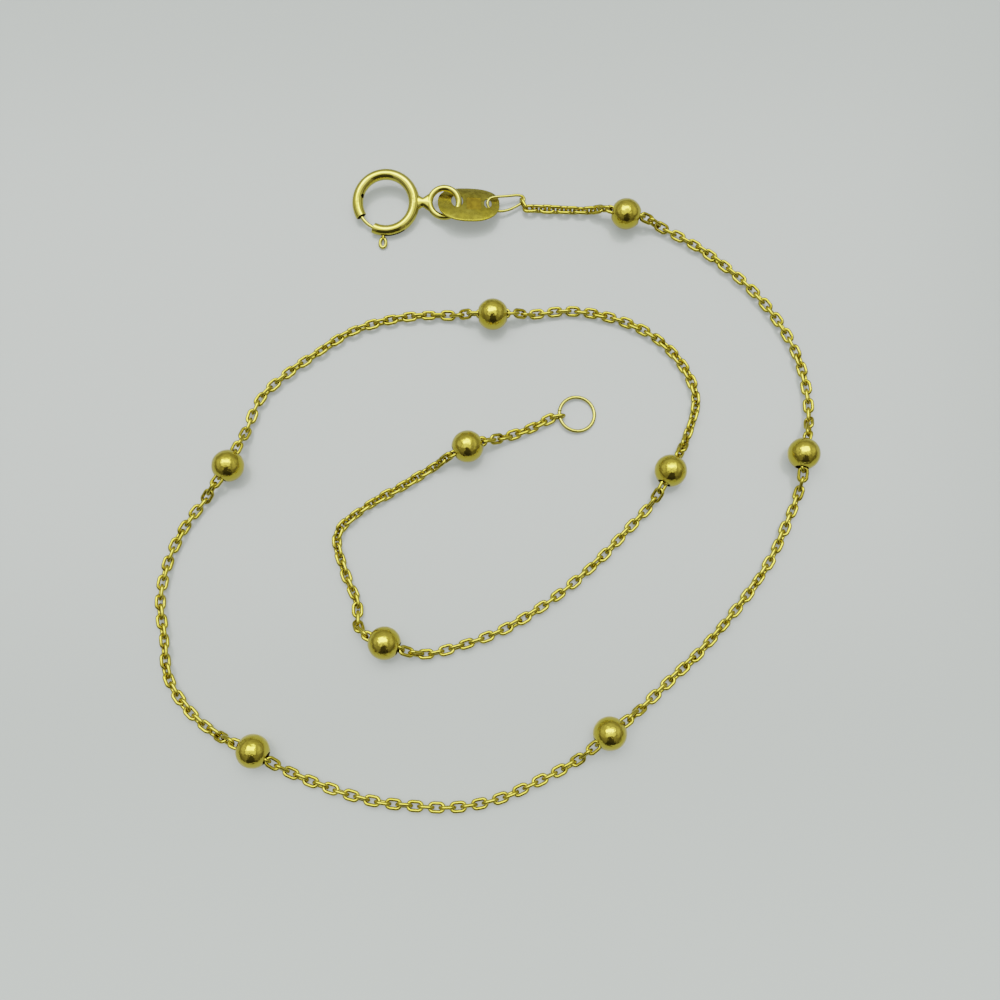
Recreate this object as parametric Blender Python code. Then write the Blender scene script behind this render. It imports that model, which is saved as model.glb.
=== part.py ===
"""A fine chain anklet, laid open on a flat surface.

A 254 mm cable chain carries nine round beads. One end has a spring ring, whose eye holds an oval tag.
A long wire loop joins the tag to the first link. The other end has a plain jump ring for the spring ring.
X points to the right, Y away from the viewer and Z up. The surface is Z = 0.
"""

import math

import bmesh
import bpy
from mathutils import Euler, Vector

MM = 0.001

# Chain: each link is an oval of round wire, and the tube that stands for the links is as wide as one
LINK_LENGTH = 1.38 * MM
LINK_WIDTH = 0.92 * MM
LINK_WIRE = 0.28 * MM
CHAIN_Z = LINK_WIDTH / 2 + 0.01 * MM
TUBE_STEP = 2.6 * MM
TUBE_GAP = 0.3 * MM

# Beads: drilled balls, with the chain entering at the height of the centre
BEAD_DIAMETER = 2.6 * MM
BEAD_HOLE = 1.02 * MM
BEAD_Z = BEAD_DIAMETER / 2
DROP_START = 1.4 * MM
DROP_END = 3.4 * MM

# Spring ring: a hollow tube bent into a ring, with a mouth, a slot for the thumb piece and an eye
RING_DIAMETER = 5.71 * MM
RING_TUBE = 0.93 * MM
RING_BORE = 0.55 * MM
RING_RADIUS = (RING_DIAMETER - RING_TUBE) / 2
MOUTH_START_DEG = 210
MOUTH_END_DEG = 244
SLOT_START_DEG = 262.5
SLOT_END_DEG = 304
SLOT_WIDTH = 0.36 * MM
EYE_DIAMETER = 3.0 * MM
EYE_WIRE = 0.54 * MM
EYE_DISTANCE = 4.95 * MM
JOINT_OVERLAP = 0.65
NECK_DIAMETER = 0.84 * MM
NECK_START = RING_RADIUS + RING_BORE / 2 + 0.03 * MM
NECK_END = EYE_DISTANCE - EYE_DIAMETER / 2 + EYE_WIRE * JOINT_OVERLAP
BORE_OVERRUN_DEG = 6
CLASP_TILT_DEG = 12
CLASP_X = -8.97 * MM
CLASP_Y = 23.56 * MM
CLASP_Z = RING_RADIUS * math.sin(math.radians(CLASP_TILT_DEG)) + RING_TUBE / 2

# Trigger: a curved tongue inside the tube, with a stem through the slot and a thumb loop
TONGUE_WIRE = 0.30 * MM
TONGUE_START_DEG = 205.5
TONGUE_END_DEG = 272
THUMB_DEG = 266
THUMB_WIDTH = 0.86 * MM
THUMB_LENGTH = 1.08 * MM
THUMB_WIRE = 0.30 * MM
THUMB_GAP = 0.05 * MM
STEM_WIRE = 0.20 * MM
THUMB_DISTANCE = RING_DIAMETER / 2 + THUMB_GAP + THUMB_LENGTH / 2

# Oval tag: a flat blunt oval plate with a hole for the eye and a hole for the end loop
TAG_LENGTH = 5.24 * MM
TAG_WIDTH = 4.0 * MM
TAG_THICKNESS = 0.16 * MM
TAG_BLUNTNESS = 2.4
EYE_HOLE_LENGTH = 1.00 * MM
EYE_HOLE_WIDTH = 1.58 * MM
EYE_HOLE_X = -0.97 * MM
EYE_HOLE_Y = 0.26 * MM
LOOP_HOLE_LENGTH = 0.64 * MM
LOOP_HOLE_WIDTH = 1.12 * MM
LOOP_HOLE_X = 1.62 * MM
LOOP_HOLE_Y = 0.05 * MM
TAG_PLACE = (-1.95 * MM, 23.45 * MM, 1.0 * MM)
TAG_ROLL_DEG = -21
TAG_PITCH_DEG = 4.5

# End loop: a wire loop through the tag and the first link, narrower where the chain has pulled on it
LOOP_WIRE = 0.24 * MM
LOOP_PLACE = (0.20 * MM, 23.50 * MM, 0.797 * MM)
LOOP_ROLL_DEG = 12
LOOP_PITCH_DEG = 9
LOOP_YAW_DEG = 3.7
LOOP_POINTS = (
    (-0.57, 0.0), (-0.38, 0.43), (0.1, 0.6), (1.13, 0.7), (2.0, 0.79), (2.45, 0.72),
    (2.62, 0.47), (2.45, 0.18), (1.8, -0.22), (1.15, -0.5), (0.4, -0.61), (-0.3, -0.47),
)
LOOP_SAMPLES = 3

# End ring: the jump ring that the spring ring closes on
END_RING_DIAMETER = 3.18 * MM
END_RING_WIRE = 0.295 * MM
END_RING_X = 6.97 * MM
END_RING_Y = 5.01 * MM
END_RING_TILT_DEG = 6.2
END_RING_Z = 0.306 * MM
LAST_LINK_DEG = 190
LAST_LINK_SEAT = 0.17 * MM

# First link: it stands on edge across the far end of the loop
FIRST_LINK_PLACE = (2.732 * MM, 23.60 * MM, CHAIN_Z)
FIRST_LINK_DEG = -62

# Where the chain and its beads lie, in millimetres from the middle of the layout
BEAD_PLACES = (
    (11.33, 22.33),
    (25.0, 1.4),
    (9.0, -20.5),
    (-17.9, -21.8),
    (-21.0, 0.4),
    (0.1, 13.3),
    (14.3, 0.0),
    (-8.2, -13.7),
    (-1.9, 2.0),
)
STRETCHES = (
    ((3.5, 23.27), (4.4, 23.2), (6.7, 23.1), (9.2, 22.95)),
    (
        (13.6, 21.8), (16.9, 20.0), (19.4, 18.1), (21.6, 16.0),
        (23.5, 13.5), (24.9, 10.8), (25.7, 7.8), (25.8, 4.5),
    ),
    (
        (24.7, -1.3), (23.5, -4.2), (22.1, -7.0), (20.3, -9.6),
        (18.3, -12.0), (16.2, -14.3), (13.9, -16.4), (11.3, -18.8),
    ),
    (
        (6.5, -22.5), (3.6, -24.0), (0.6, -25.3), (-2.6, -25.9),
        (-5.9, -25.8), (-9.1, -25.4), (-12.2, -24.5), (-15.3, -23.3),
    ),
    (
        (-20.8, -20.6), (-23.2, -18.7), (-24.9, -16.2), (-25.4, -13.2),
        (-25.9, -10.3), (-25.5, -7.3), (-24.4, -4.5), (-22.7, -2.0),
    ),
    (
        (-19.9, 3.4), (-18.9, 6.2), (-16.8, 8.4), (-14.4, 10.2),
        (-11.8, 12.0), (-9.0, 13.0), (-6.0, 13.5), (-3.0, 13.5),
    ),
    ((3.4, 13.6), (6.7, 13.9), (10.0, 13.3), (13.1, 11.9), (15.5, 9.5), (16.7, 6.4), (15.9, 3.2)),
    (
        (12.9, -2.4), (10.7, -4.8), (8.5, -7.1), (6.1, -9.2),
        (3.5, -11.1), (0.7, -12.7), (-2.3, -13.8), (-5.4, -14.5),
    ),
    (
        (-10.2, -12.6), (-10.5, -10.4), (-11.5, -8.1), (-12.2, -5.0),
        (-10.0, -2.8), (-7.3, -1.2), (-4.6, 0.5),
    ),
    ((0.6, 2.8), (3.1, 3.7), (4.6, 4.5)),
)
SPAN_SAMPLES = 12
WELD_DISTANCE = 0.0001 * MM

GOLD = (0.80, 0.66, 0.20)
TAG_GOLD = (0.62, 0.55, 0.22)


def clear_scene():
    for obj in list(bpy.data.objects):
        bpy.data.objects.remove(obj, do_unlink=True)


def new_collection(name):
    collection = bpy.data.collections.new(name)
    bpy.context.scene.collection.children.link(collection)
    return collection


def metal(name, colour, roughness):
    material = bpy.data.materials.new(name)
    material.use_nodes = True
    shader = material.node_tree.nodes["Principled BSDF"]
    shader.inputs["Base Color"].default_value = (*colour, 1)
    shader.inputs["Metallic"].default_value = 1.0
    shader.inputs["Roughness"].default_value = roughness
    return material


def add_object(name, data, collection, material=None, parent=None):
    obj = bpy.data.objects.new(name, data)
    collection.objects.link(obj)
    obj.parent = parent
    if material:
        data.materials.append(material)
    return obj


def add_helper(name, place, roll_deg=0, pitch_deg=0, yaw_deg=0):
    """An empty that carries pieces which share one tilt."""
    helper = add_object(name, None, PARTS)
    helper.location = place
    helper.rotation_euler = Euler([math.radians(deg) for deg in (roll_deg, pitch_deg, yaw_deg)])
    return helper


def hide_cutter(obj):
    obj.hide_render = True
    obj.display_type = "WIRE"


def smooth(mesh):
    mesh.shade_smooth()
    mesh.set_sharp_from_angle(angle=math.radians(50))


def wire_curve(name, paths, wire, closed, sides=8):
    """Round wire along each path. A bevel resolution of n gives 2n + 4 sides."""
    curve = bpy.data.curves.new(name, "CURVE")
    curve.dimensions = "3D"
    curve.bevel_depth = wire / 2
    curve.bevel_resolution = (sides - 4) // 2
    curve.use_fill_caps = True
    for path in paths:
        spline = curve.splines.new("POLY")
        spline.points.add(len(path) - 1)
        for point, place in zip(spline.points, path):
            point.co = (*place, 1)
        spline.use_cyclic_u = closed
    return curve


def flat_curve(name, outlines, thickness):
    """A flat plate between its outlines. An outline inside another is a hole."""
    curve = bpy.data.curves.new(name, "CURVE")
    curve.dimensions = "2D"
    curve.fill_mode = "BOTH"
    curve.extrude = thickness / 2
    for outline in outlines:
        spline = curve.splines.new("POLY")
        spline.points.add(len(outline) - 1)
        for point, place in zip(spline.points, outline):
            point.co = (*place, 1)
        spline.use_cyclic_u = True
    return curve


def mesh_object(name, curve, collection, material=None, parent=None):
    """A mesh made from a curve, with its caps welded on, so that it can be cut and joined."""
    source = add_object(name + "_curve", curve, collection, material, parent)
    bpy.context.view_layer.update()
    graph = bpy.context.evaluated_depsgraph_get()
    mesh = bpy.data.meshes.new_from_object(source.evaluated_get(graph))
    place = source.matrix_world.copy()
    bpy.data.objects.remove(source, do_unlink=True)
    shape = bmesh.new()
    shape.from_mesh(mesh)
    bmesh.ops.remove_doubles(shape, verts=shape.verts, dist=WELD_DISTANCE)
    bmesh.ops.recalc_face_normals(shape, faces=shape.faces)
    shape.to_mesh(mesh)
    shape.free()
    smooth(mesh)
    obj = bpy.data.objects.new(name, mesh)
    collection.objects.link(obj)
    obj.parent = parent
    obj.matrix_world = place
    return obj


def combine(obj, other, operation):
    modifier = obj.modifiers.new(other.name, "BOOLEAN")
    modifier.operation = operation
    modifier.object = other
    hide_cutter(other)


def arc(radius, start_deg, end_deg, count):
    """Points along an arc in the XY plane, both ends included."""
    angles = [math.radians(start_deg + (end_deg - start_deg) * i / (count - 1)) for i in range(count)]
    return [(radius * math.cos(a), radius * math.sin(a), 0) for a in angles]


def circle(radius, count):
    return arc(radius, 0, 360 - 360 / count, count)


def moved(outline, shift_x, shift_y):
    return [(x + shift_x, y + shift_y, 0) for x, y, _ in outline]


def oval(length, width, count):
    """An oval with straight sides and round ends, long in X."""
    radius = width / 2
    half = length / 2 - radius
    right = [(x + half, y, 0) for x, y, _ in arc(radius, -90, 90, count // 2)]
    left = [(x - half, y, 0) for x, y, _ in arc(radius, 90, 270, count // 2)]
    return right + left


def blunt_oval(length, width, bluntness, count):
    """An ellipse whose ends and sides are flatter the more its bluntness is above 2."""
    outline = []
    for x, y, _ in circle(1, count):
        stretch_x = math.copysign(abs(x) ** (2 / bluntness), x)
        stretch_y = math.copysign(abs(y) ** (2 / bluntness), y)
        outline.append((length / 2 * stretch_x, width / 2 * stretch_y, 0))
    return outline


def link_curve(name):
    path = oval(LINK_LENGTH - LINK_WIRE, LINK_WIDTH - LINK_WIRE, 12)
    return wire_curve(name, [path], LINK_WIRE, True, 6)


def add_link(name, place, yaw_deg):
    """One link of the chain, standing on edge along the given direction."""
    link = add_object(name, link_curve(name), PARTS, WIRE_GOLD)
    link.location = place
    link.rotation_euler = Euler((math.radians(90), 0, math.radians(yaw_deg)))
    return link


def clasp_wire(name, path, wire, closed, sides, collection, helper):
    """A solid of round wire or tube that belongs to the clasp."""
    return mesh_object(name, wire_curve(name, [path], wire, closed, sides), collection, CLASP_GOLD, helper)


def spring_ring(helper):
    """The hollow ring with its eye soldered on, cut open by its bore and by the thumb piece's slot."""
    tube_path = arc(RING_RADIUS, MOUTH_END_DEG, MOUTH_START_DEG + 360, 40)
    ring = clasp_wire("spring_ring", tube_path, RING_TUBE, False, 12, PARTS, helper)
    eye_path = moved(circle((EYE_DIAMETER - EYE_WIRE) / 2, 24), EYE_DISTANCE, 0)
    eye = clasp_wire("eye", eye_path, EYE_WIRE, True, 8, CUTTERS, helper)
    neck_path = [(NECK_START, 0, 0), (NECK_END, 0, 0)]
    neck = clasp_wire("neck", neck_path, NECK_DIAMETER, False, 12, CUTTERS, helper)
    bore_start = MOUTH_END_DEG - BORE_OVERRUN_DEG
    bore_path = arc(RING_RADIUS, bore_start, MOUTH_START_DEG + 360 + BORE_OVERRUN_DEG, 42)
    bore = clasp_wire("bore", bore_path, RING_BORE, False, 8, CUTTERS, helper)
    inner = arc(RING_RADIUS, SLOT_START_DEG, SLOT_END_DEG, 8)
    outer = arc(RING_RADIUS + RING_TUBE, SLOT_END_DEG, SLOT_START_DEG, 8)
    slot_curve = flat_curve("thumb_slot", [inner + outer], SLOT_WIDTH)
    slot = mesh_object("thumb_slot", slot_curve, CUTTERS, None, helper)
    combine(ring, neck, "UNION")
    combine(ring, eye, "UNION")
    combine(ring, bore, "DIFFERENCE")
    combine(ring, slot, "DIFFERENCE")
    return ring


def trigger(helper):
    """The tongue that closes the mouth, with the stem and loop that the thumb pulls."""
    tongue_path = arc(RING_RADIUS, TONGUE_START_DEG, TONGUE_END_DEG, 12)
    tongue = clasp_wire("trigger", tongue_path, TONGUE_WIRE, False, 8, PARTS, helper)
    angle = math.radians(THUMB_DEG)
    outward = Vector((math.cos(angle), math.sin(angle), 0))
    sideways = Vector((-outward.y, outward.x, 0))
    oval_length = THUMB_LENGTH - THUMB_WIRE
    oval_width = THUMB_WIDTH - THUMB_WIRE
    loop_path = [
        outward * (THUMB_DISTANCE + x * oval_length / 2) + sideways * y * oval_width / 2
        for x, y, _ in circle(1, 16)
    ]
    thumb = clasp_wire("thumb", loop_path, THUMB_WIRE, True, 8, CUTTERS, helper)
    stem_end = THUMB_DISTANCE - THUMB_LENGTH / 2 + THUMB_WIRE * JOINT_OVERLAP
    stem_path = [outward * RING_RADIUS, outward * stem_end]
    stem = clasp_wire("stem", stem_path, STEM_WIRE, False, 8, CUTTERS, helper)
    combine(tongue, stem, "UNION")
    combine(tongue, thumb, "UNION")
    return tongue


def oval_tag():
    rim = blunt_oval(TAG_LENGTH, TAG_WIDTH, TAG_BLUNTNESS, 40)
    eye_hole = blunt_oval(EYE_HOLE_LENGTH, EYE_HOLE_WIDTH, 2, 20)
    eye_hole = moved(eye_hole, EYE_HOLE_X, EYE_HOLE_Y)
    loop_hole = blunt_oval(LOOP_HOLE_LENGTH, LOOP_HOLE_WIDTH, 2, 16)
    loop_hole = moved(loop_hole, LOOP_HOLE_X, LOOP_HOLE_Y)
    plate = flat_curve("oval_tag", [rim, eye_hole, loop_hole], TAG_THICKNESS)
    helper = add_helper("tag_place", TAG_PLACE, TAG_ROLL_DEG, TAG_PITCH_DEG)
    return mesh_object("oval_tag", plate, PARTS, TAG_METAL, helper)


def end_loop():
    corners = [Vector((*place, 0)) * MM for place in LOOP_POINTS]
    round_again = [corners[-1], *corners, corners[0], corners[1]]
    path = []
    for i in range(1, len(corners) + 1):
        path += smooth_span(round_again, i, LOOP_SAMPLES)
    helper = add_helper("loop_place", LOOP_PLACE, LOOP_ROLL_DEG, LOOP_PITCH_DEG, LOOP_YAW_DEG)
    wire = wire_curve("end_loop", [path], LOOP_WIRE, True)
    return add_object("end_loop", wire, PARTS, WIRE_GOLD, helper)


def end_ring():
    """The jump ring, with its near side lifted by the last link that runs under it."""
    path = circle((END_RING_DIAMETER - END_RING_WIRE) / 2, 24)
    helper = add_helper("end_ring_place", (END_RING_X, END_RING_Y, END_RING_Z), 0, END_RING_TILT_DEG)
    wire = wire_curve("end_ring", [path], END_RING_WIRE, True)
    return add_object("end_ring", wire, PARTS, WIRE_GOLD, helper)


def last_link():
    angle = math.radians(LAST_LINK_DEG)
    reach = (END_RING_DIAMETER - END_RING_WIRE) / 2 + LAST_LINK_SEAT
    place = (END_RING_X + reach * math.cos(angle), END_RING_Y + reach * math.sin(angle), CHAIN_Z)
    return add_link("last_link", place, LAST_LINK_DEG - 180)


def bead_mesh():
    """A ball drilled right through along X."""
    ball = bpy.data.meshes.new("ball")
    shape = bmesh.new()
    bmesh.ops.create_uvsphere(shape, u_segments=16, v_segments=10, radius=BEAD_DIAMETER / 2)
    shape.to_mesh(ball)
    shape.free()
    source = add_object("ball", ball, CUTTERS)
    drill_path = [(-BEAD_DIAMETER, 0, 0), (BEAD_DIAMETER, 0, 0)]
    drill = mesh_object("drill", wire_curve("drill", [drill_path], BEAD_HOLE, False, 10), CUTTERS)
    combine(source, drill, "DIFFERENCE")
    hide_cutter(source)
    bpy.context.view_layer.update()
    graph = bpy.context.evaluated_depsgraph_get()
    drilled = bpy.data.meshes.new_from_object(source.evaluated_get(graph))
    bpy.data.objects.remove(source, do_unlink=True)
    smooth(drilled)
    drilled.materials.append(BEAD_GOLD)
    return drilled


def chain_route():
    """The chain's control points from end to end, and the index of each bead's centre among them."""
    points = []
    beads = []
    for number, stretch in enumerate(STRETCHES):
        points += [Vector(place) * MM for place in stretch]
        if number < len(BEAD_PLACES):
            beads.append(len(points))
            points.append(Vector(BEAD_PLACES[number]) * MM)
    return points, beads


def smooth_span(points, start, count=SPAN_SAMPLES):
    """Samples of the Catmull-Rom curve from one control point to the next."""
    before = points[max(start - 1, 0)]
    first = points[start]
    second = points[start + 1]
    after = points[min(start + 2, len(points) - 1)]
    samples = []
    for i in range(count):
        t = i / count
        leave = (second - before) * (t - 2 * t * t + t**3) / 2
        arrive = (after - first) * (t**3 - t * t) / 2
        share = 3 * t * t - 2 * t**3
        samples.append(first * (1 - share) + second * share + leave + arrive)
    return samples


def smooth_stretch(points, start, end):
    samples = []
    for span in range(start, end):
        samples += smooth_span(points, span)
    return samples + [points[end]]


def distances(samples):
    """The distance along the samples at each of them."""
    along = [0.0]
    for first, second in zip(samples, samples[1:]):
        along.append(along[-1] + (second - first).length)
    return along


def point_at(samples, along, distance):
    for i in range(1, len(samples)):
        if along[i] >= distance or i == len(samples) - 1:
            share = (distance - along[i - 1]) / (along[i] - along[i - 1])
            return samples[i - 1].lerp(samples[i], share)


def chain_height(to_bead):
    """The chain lies on the surface, and rises to the hole near a bead."""
    share = min(max((to_bead - DROP_START) / (DROP_END - DROP_START), 0), 1)
    share = share * share * (3 - 2 * share)
    return BEAD_Z + (CHAIN_Z - BEAD_Z) * share


def chain_tube(number, samples, bead_at_start, bead_at_end):
    """One stretch of chain as a tube, which ends just outside the holes of its beads."""
    along = distances(samples)
    total = along[-1]
    mouth = math.sqrt((BEAD_DIAMETER / 2) ** 2 - (LINK_WIDTH / 2) ** 2) + TUBE_GAP
    start = mouth if bead_at_start else 0
    end = total - (mouth if bead_at_end else 0)
    places = [start]
    if bead_at_start:
        places.append(start + TUBE_STEP / 2)
    tail = end - TUBE_STEP / 2 if bead_at_end else end
    count = max(1, round((tail - places[-1]) / TUBE_STEP))
    first = places[-1]
    places += [first + (tail - first) * i / count for i in range(1, count + 1)]
    if bead_at_end:
        places.append(end)
    path = []
    for place in places:
        to_start = place if bead_at_start else math.inf
        to_end = total - place if bead_at_end else math.inf
        spot = point_at(samples, along, place)
        path.append((spot.x, spot.y, chain_height(min(to_start, to_end))))
    name = f"chain_{number}"
    return add_object(name, wire_curve(name, [path], LINK_WIDTH, False), PARTS, WIRE_GOLD)


def chain_and_beads():
    points, beads = chain_route()
    ends = [0, *beads, len(points) - 1]
    for number, (start, end) in enumerate(zip(ends, ends[1:]), 1):
        samples = smooth_stretch(points, start, end)
        chain_tube(number, samples, start in beads, end in beads)
    drilled = bead_mesh()
    for number, centre in enumerate(beads, 1):
        along_chain = points[centre + 1] - points[centre - 1]
        bead = add_object(f"bead_{number}", drilled, PARTS)
        bead.location = (*points[centre], BEAD_Z)
        bead.rotation_euler.z = math.atan2(along_chain.y, along_chain.x)


clear_scene()
PARTS = new_collection("chain_anklet")
CUTTERS = new_collection("cutters")
CLASP_GOLD = metal("clasp_gold", GOLD, 0.12)
WIRE_GOLD = metal("wire_gold", GOLD, 0.2)
BEAD_GOLD = metal("bead_gold", GOLD, 0.06)
TAG_METAL = metal("tag_gold", TAG_GOLD, 0.35)

clasp_place = add_helper("clasp_place", (CLASP_X, CLASP_Y, CLASP_Z), CLASP_TILT_DEG)
spring_ring(clasp_place)
trigger(clasp_place)
oval_tag()
end_loop()
add_link("first_link", FIRST_LINK_PLACE, FIRST_LINK_DEG)
chain_and_beads()
last_link()
end_ring()
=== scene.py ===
"""The looks of the chain anklet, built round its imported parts.

Every visible piece is modelled finely here and stands for the plain solid of the same place: the links of
the chain, the drilled beads, the spring ring with its trigger, the oval tag and the wire rings.
Lengths are in metres, X points to the right, Y away from the viewer and Z up. The surface is Z = 0.
"""

import math
import random
from collections import namedtuple

import bmesh
import bpy
from mathutils import Euler, Matrix, Vector


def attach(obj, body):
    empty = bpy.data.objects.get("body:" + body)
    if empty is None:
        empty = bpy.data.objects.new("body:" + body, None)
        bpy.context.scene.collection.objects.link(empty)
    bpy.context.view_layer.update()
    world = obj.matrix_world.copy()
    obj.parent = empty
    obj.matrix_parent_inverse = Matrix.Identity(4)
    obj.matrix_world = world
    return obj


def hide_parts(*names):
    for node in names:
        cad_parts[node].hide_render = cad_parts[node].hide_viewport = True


MM = 0.001
SHARP_DEG = 40
WELD_DISTANCE = 0.0001 * MM

# Links
LINK_LENGTH = 1.38 * MM
LINK_WIDTH = 0.92 * MM
LINK_WIRE = 0.28 * MM
LINK_REACH = LINK_LENGTH - 2 * LINK_WIRE
LINK_ARC_POINTS = 11
LINK_SIDE_POINTS = 2
LINK_SIDES = 14
LINK_ON_EDGE_DEG = 90
CHAIN_Z = LINK_WIDTH / 2 + 0.01 * MM
CHAIN_SLACK = 0.004 * MM

# Beads
BEAD_DIAMETER = 2.6 * MM
BEAD_HOLE = 1.02 * MM
BEAD_Z = BEAD_DIAMETER / 2
DROP_START = 1.4 * MM
DROP_END = 3.4 * MM
BEAD_LIP = 0.05 * MM
BEAD_LIP_DEPTH = 0.9
BEAD_LIP_DEGS = (25, 45, 65, 90)
BEAD_SEGMENTS = 96
BEAD_PROFILE_POINTS = 64
BORE_LENGTH = 0.93
BORE_STEPS = 12
BEAD_UNEVENNESS = 0.0012
WAVE_COUNT = 4
WAVE_PITCHES = (1.5, 3.2)
WAVE_PHASES = (0, 6.28)
WAVES_ALONG = 1.3

# Spring ring
RING_DIAMETER = 5.71 * MM
RING_TUBE = 0.93 * MM
RING_BORE = 0.55 * MM
RING_RADIUS = (RING_DIAMETER - RING_TUBE) / 2
MOUTH_START_DEG = 210
MOUTH_END_DEG = 244
SLOT_START_DEG = 262.5
SLOT_END_DEG = 304
SLOT_WIDTH = 0.36 * MM
EYE_DIAMETER = 3.0 * MM
EYE_WIRE = 0.54 * MM
EYE_DISTANCE = 4.95 * MM
EYE_POINTS = 96
EYE_SIDES = 28
NECK_DIAMETER = 0.84 * MM
NECK_START = 2.72 * MM
NECK_WAIST = 3.12 * MM
NECK_END = 3.66 * MM
NECK_FLARE = 0.34 * MM
NECK_FLARE_CURVE = 1.1
NECK_HALF_HEIGHT = 0.31 * MM
NECK_LOWERING = 0.08 * MM
NECK_ROWS = 20
NECK_COLUMNS = 40
MOUTH_FLARE = 0.14 * MM
MOUTH_FLARE_DEG = 12
MOUTH_BEVEL = 0.03 * MM
MOUTH_BEVEL_DEG = 0.7
ROWS_TO_SLOT = 8
SLOT_ROWS = 20
ROWS_FROM_SLOT = 128
SLOT_COLUMNS = 6
COLUMNS_FROM_SLOT = 34
FACES_INWARD = -0.3
PIN_HOLE_DEG = 166
PIN_HOLE_RISE_DEG = 32
PIN_HOLE_DIAMETER = 0.38 * MM
PIN_HOLE_REACH = (0.1, 0.7)
PIN_HOLE_SIDES = 20
CLASP_TILT_DEG = 12
CLASP_PLACE = Vector((-8.97, 23.56, 0.9619)) * MM

# Trigger
TONGUE_WIRE = 0.30 * MM
TONGUE_START_DEG = 205.5
TONGUE_END_DEG = 272
THUMB_DEG = 266
THUMB_WIDTH = 0.86 * MM
THUMB_LENGTH = 1.08 * MM
THUMB_WIRE = 0.30 * MM
THUMB_GAP = 0.05 * MM
THUMB_NARROWING = 0.22
STEM_SPREAD = 0.12 * MM
STEM_WIRE = 0.20 * MM
STEM_BITE = 0.65
STEM_STEPS = 16
STEM_SIDES = 18
TONGUE_POINTS = 72
TONGUE_END_POINTS = 5
TONGUE_TIP = 0.35
THUMB_POINTS = 56
TRIGGER_SIDES = 20
THUMB_DISTANCE = RING_DIAMETER / 2 + THUMB_GAP + THUMB_LENGTH / 2

# Oval tag
TAG_LENGTH = 5.24 * MM
TAG_WIDTH = 4.0 * MM
TAG_THICKNESS = 0.16 * MM
TAG_BLUNTNESS = 2.4
TAG_EDGE = 0.04 * MM
TAG_EDGE_STEPS = 3
TAG_CROWN = 0.15 * MM
TAG_CROWN_CURVE = 3
TAG_POINTS = 144
TAG_FACET = 0.3 * MM
TAG_FACET_CUTS = 5
TAG_SHARP_DEG = 35
HOLE_BLUNTNESS = 2
EYE_HOLE_LENGTH = 1.00 * MM
EYE_HOLE_WIDTH = 1.58 * MM
EYE_HOLE_X = -0.97 * MM
EYE_HOLE_Y = 0.26 * MM
EYE_HOLE_POINTS = 60
LOOP_HOLE_LENGTH = 0.64 * MM
LOOP_HOLE_WIDTH = 1.12 * MM
LOOP_HOLE_X = 1.62 * MM
LOOP_HOLE_Y = 0.05 * MM
LOOP_HOLE_POINTS = 48
PANEL_LENGTH = 1.22 * MM
PANEL_WIDTH = 1.44 * MM
PANEL_CORNER = 0.10 * MM
PANEL_CORNER_POINTS = 6
PANEL_X = 0.42 * MM
PANEL_Y = -0.08 * MM
PANEL_DEPTH = 0.04 * MM
TAG_PLACE = Vector((-1.95, 23.45, 1.0)) * MM
TAG_ROLL_DEG = -21
TAG_PITCH_DEG = 4.5

# End loop
LOOP_WIRE = 0.24 * MM
LOOP_PLACE = Vector((0.20, 23.50, 0.797)) * MM
LOOP_ROLL_DEG = 12
LOOP_PITCH_DEG = 9
LOOP_YAW_DEG = 3.7
LOOP_POINTS = (
    (-0.57, 0.0), (-0.38, 0.43), (0.1, 0.6), (1.13, 0.7), (2.0, 0.79), (2.45, 0.72),
    (2.62, 0.47), (2.45, 0.18), (1.8, -0.22), (1.15, -0.5), (0.4, -0.61), (-0.3, -0.47),
)
LOOP_SAMPLES = 8
LOOP_SIDES = 20

# End ring
END_RING_DIAMETER = 3.18 * MM
END_RING_WIRE = 0.295 * MM
END_RING_PLACE = Vector((6.97, 5.01, 0.306)) * MM
END_RING_TILT_DEG = 6.2
END_RING_POINTS = 180
END_RING_SIDES = 24
SOLDER_DEG = 172
SOLDER_LUMP = 0.018 * MM
SOLDER_LUMP_DEG = 7
SOLDER_GROOVE = 0.030 * MM
SOLDER_GROOVE_DEG = 1.6
LAST_LINK_DEG = 190
LAST_LINK_SEAT = 0.17 * MM

# First link
FIRST_LINK_PLACE = Vector((2.732 * MM, 23.60 * MM, CHAIN_Z))
FIRST_LINK_DEG = -62

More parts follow.
